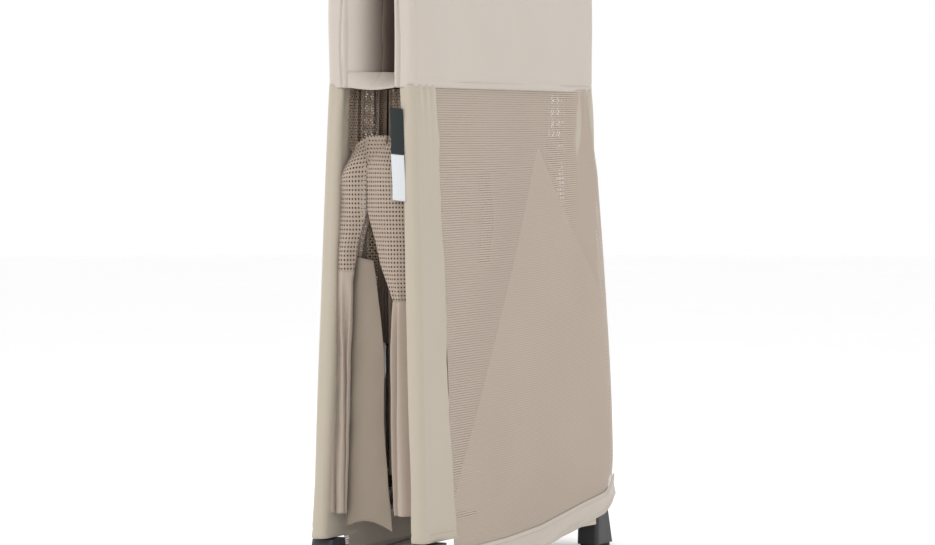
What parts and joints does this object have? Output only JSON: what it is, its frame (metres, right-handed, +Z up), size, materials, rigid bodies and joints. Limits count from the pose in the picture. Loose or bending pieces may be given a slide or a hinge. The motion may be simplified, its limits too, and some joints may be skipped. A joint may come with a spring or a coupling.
{
  "type": "folding playpen",
  "caption": "Folding playpen stored folded: two fabric-covered end frames face to face, with a floor that folds up and side rails that fold down between them.",
  "frame": {"origin": "on the floor, midway between the two end frames as folded", "axes": "+X from the far end to the near end across the folded pack, +Y along the ends to the right side, +Z up"},
  "size_m": [0.212, 0.676, 0.93],
  "materials": {
    "band_cloth": "plain woven polyester, sand",
    "sleeve_cloth": "plain woven polyester, sand",
    "mesh": "warp-knit mesh with small round holes, taupe",
    "side_cloth": "mesh above and plain cloth below, taupe",
    "mattress_cloth": "quilted cloth over foam",
    "webbing": "black polyester webbing",
    "rubber": "matt",
    "pin_steel": "zinc plated",
    "floor_board": "black, fine grain",
    "frame_tube": "black powder coat",
    "latch_red": "red, satin",
    "black_plastic": "moulded, fine grain"
  },
  "bodies": {
    "near_base": {"base_pull_strap": "webbing", "near_base_board": "floor_board", "near_base_hinge_leaves": "black_plastic", "near_base_mattress": "mattress_cloth", "near_base_pivot_tube": "frame_tube"},
    "far_base": {"far_base_board": "floor_board", "far_base_hinge_leaves": "black_plastic", "far_base_mattress": "mattress_cloth", "far_base_pivot_tube": "frame_tube"},
    "far_end": {"far_base_brackets": "black_plastic", "far_corner_bracket_left": "black_plastic", "far_corner_bracket_right": "black_plastic", "far_crossbar": "frame_tube", "far_foot_left": "black_plastic", "far_foot_pads": "rubber", "far_foot_right": "black_plastic", "far_hem": "sleeve_cloth", "far_leg_left": "frame_tube", "far_leg_right": "frame_tube", "far_mesh_panel": "mesh", "far_rail_pins": "pin_steel", "far_sleeve_left": "sleeve_cloth", "far_sleeve_right": "sleeve_cloth", "far_top_band": "band_cloth", "far_top_tube": "frame_tube"},
    "far_left_rail": {"far_left_rail_knuckle": "black_plastic", "far_left_rail_leaf": "black_plastic", "far_left_rail_tube": "frame_tube"},
    "far_right_rail": {"far_right_rail_knuckle": "black_plastic", "far_right_rail_leaf": "black_plastic", "far_right_rail_tube": "frame_tube"},
    "left_latch": {"left_latch_button": "latch_red"},
    "near_end": {"left_side_fabric": "side_cloth", "near_base_brackets": "black_plastic", "near_corner_bracket_left": "black_plastic", "near_corner_bracket_right": "black_plastic", "near_crossbar": "frame_tube", "near_foot_left": "black_plastic", "near_foot_pads": "rubber", "near_foot_right": "black_plastic", "near_hem": "sleeve_cloth", "near_leg_left": "frame_tube", "near_leg_right": "frame_tube", "near_mesh_panel": "mesh", "near_rail_pins": "pin_steel", "near_sleeve_left": "sleeve_cloth", "near_sleeve_right": "sleeve_cloth", "near_top_band": "band_cloth", "near_top_tube": "frame_tube", "right_side_fabric": "side_cloth"},
    "near_left_rail": {"near_left_rail_knuckle": "black_plastic", "near_left_rail_leaf": "black_plastic", "near_left_rail_tube": "frame_tube"},
    "near_right_rail": {"near_right_rail_knuckle": "black_plastic", "near_right_rail_leaf": "black_plastic", "near_right_rail_tube": "frame_tube"},
    "right_latch": {"right_latch_button": "latch_red"}
  },
  "joints": [
    {"name": "base_fold", "type": "hinge", "parent": "near_end", "child": "near_base", "pos_m": [0.015, 0, 0.15], "axis": [0, -1, 0], "range_deg": [0, 90], "deforming": ["left_side_fabric", "right_side_fabric"]},
    {"name": "base_middle_hinge", "type": "hinge", "parent": "near_base", "child": "far_base", "pos_m": [0, 0, 0.65], "axis": [0, 1, 0], "range_deg": [0, 180]},
    {"name": "far_end_hinge", "type": "hinge", "parent": "far_base", "child": "far_end", "pos_m": [-0.015, 0, 0.15], "axis": [0, -1, 0], "range_deg": [0, 90]},
    {"name": "near_left_rail_hinge", "type": "hinge", "parent": "near_end", "child": "near_left_rail", "pos_m": [0.015, -0.25, 0.864], "axis": [0, 1, 0], "range_deg": [0, 90]},
    {"name": "far_left_rail_hinge", "type": "hinge", "parent": "far_end", "child": "far_left_rail", "pos_m": [-0.015, -0.25, 0.864], "axis": [0, -1, 0], "range_deg": [0, 90]},
    {"name": "left_latch_press", "type": "slide", "parent": "near_left_rail", "child": "left_latch", "axis": [-1, 0, 0], "range_m": [0, 0.003], "stiffness_N_per_m": 400, "springref_m": -0.001},
    {"name": "near_right_rail_hinge", "type": "hinge", "parent": "near_end", "child": "near_right_rail", "pos_m": [0.015, 0.25, 0.864], "axis": [0, 1, 0], "range_deg": [0, 90]},
    {"name": "far_right_rail_hinge", "type": "hinge", "parent": "far_end", "child": "far_right_rail", "pos_m": [-0.015, 0.25, 0.864], "axis": [0, -1, 0], "range_deg": [0, 90]},
    {"name": "right_latch_press", "type": "slide", "parent": "near_right_rail", "child": "right_latch", "axis": [-1, 0, 0], "range_m": [0, 0.003], "stiffness_N_per_m": 400, "springref_m": -0.001}
  ],
  "couplings": [
    {"joint": "base_middle_hinge", "follows": "base_fold", "ratio": 2},
    {"joint": "far_end_hinge", "follows": "base_fold", "ratio": 1},
    {"joint": "near_left_rail_hinge", "follows": "base_fold", "ratio": 1},
    {"joint": "far_left_rail_hinge", "follows": "base_fold", "ratio": 1},
    {"joint": "near_right_rail_hinge", "follows": "base_fold", "ratio": 1},
    {"joint": "far_right_rail_hinge", "follows": "base_fold", "ratio": 1}
  ]
}
